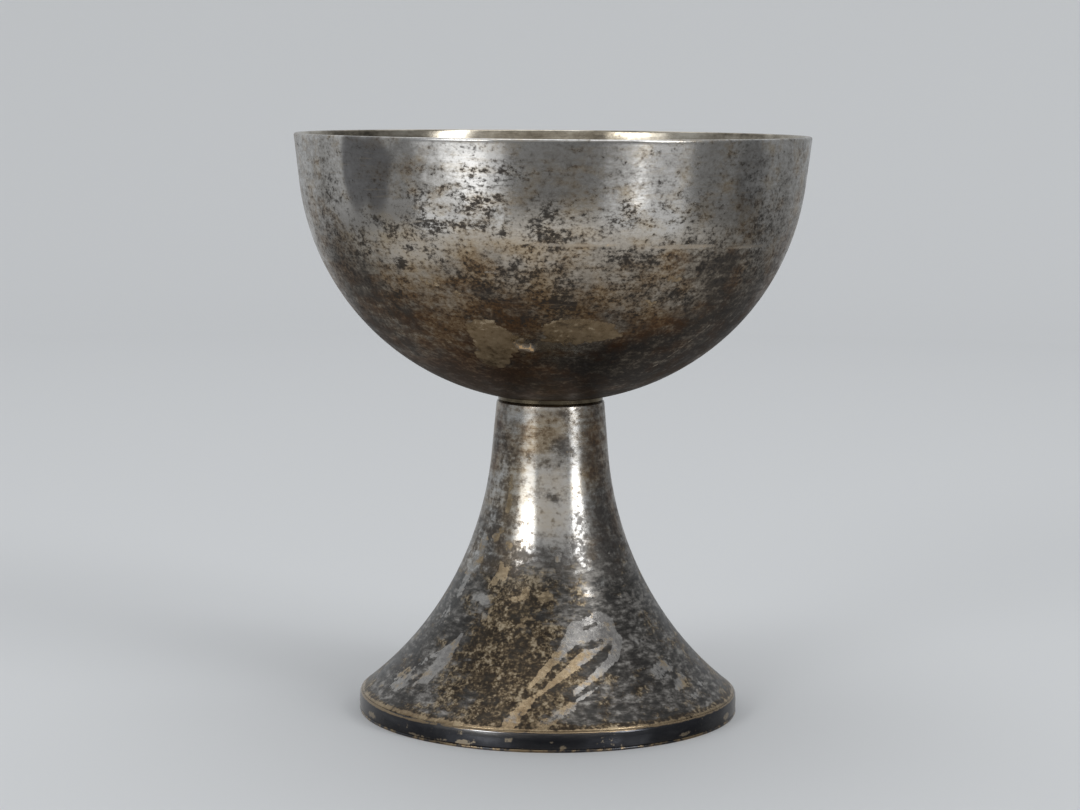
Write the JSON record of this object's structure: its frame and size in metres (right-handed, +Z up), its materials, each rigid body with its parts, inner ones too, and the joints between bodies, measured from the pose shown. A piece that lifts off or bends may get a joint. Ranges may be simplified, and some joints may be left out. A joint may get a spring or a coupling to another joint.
{
  "type": "communion chalice",
  "caption": "Low communion chalice: a hemispherical spun bowl bolted to a flared trumpet stem and foot, in worn, tarnished silver plate, gilt inside.",
  "frame": {"origin": "centre of the base, on the surface that the cup stands on", "axes": "+Z up along the cup's axis of symmetry; +X and +Y are any two level directions"},
  "size_m": [0.1122, 0.1122, 0.127],
  "materials": {
    "tarnished_silver": "worn silver plate over brass, mottled with dark tarnish; the bowl is gilt inside",
    "dark_brass": "turned brass, darkened with age",
    "fastener_steel": "dull zinc-grey steel"
  },
  "bodies": {
    "root": {"bowl": "tarnished_silver", "stem_foot": "tarnished_silver", "foot_band": "tarnished_silver", "base_ring": "tarnished_silver", "seat_collar": "dark_brass", "stem_plate": "dark_brass", "bowl_stud": "fastener_steel", "flat_washer": "fastener_steel", "spring_washer": "fastener_steel", "hex_nut": "fastener_steel"}
  },
  "joints": []
}
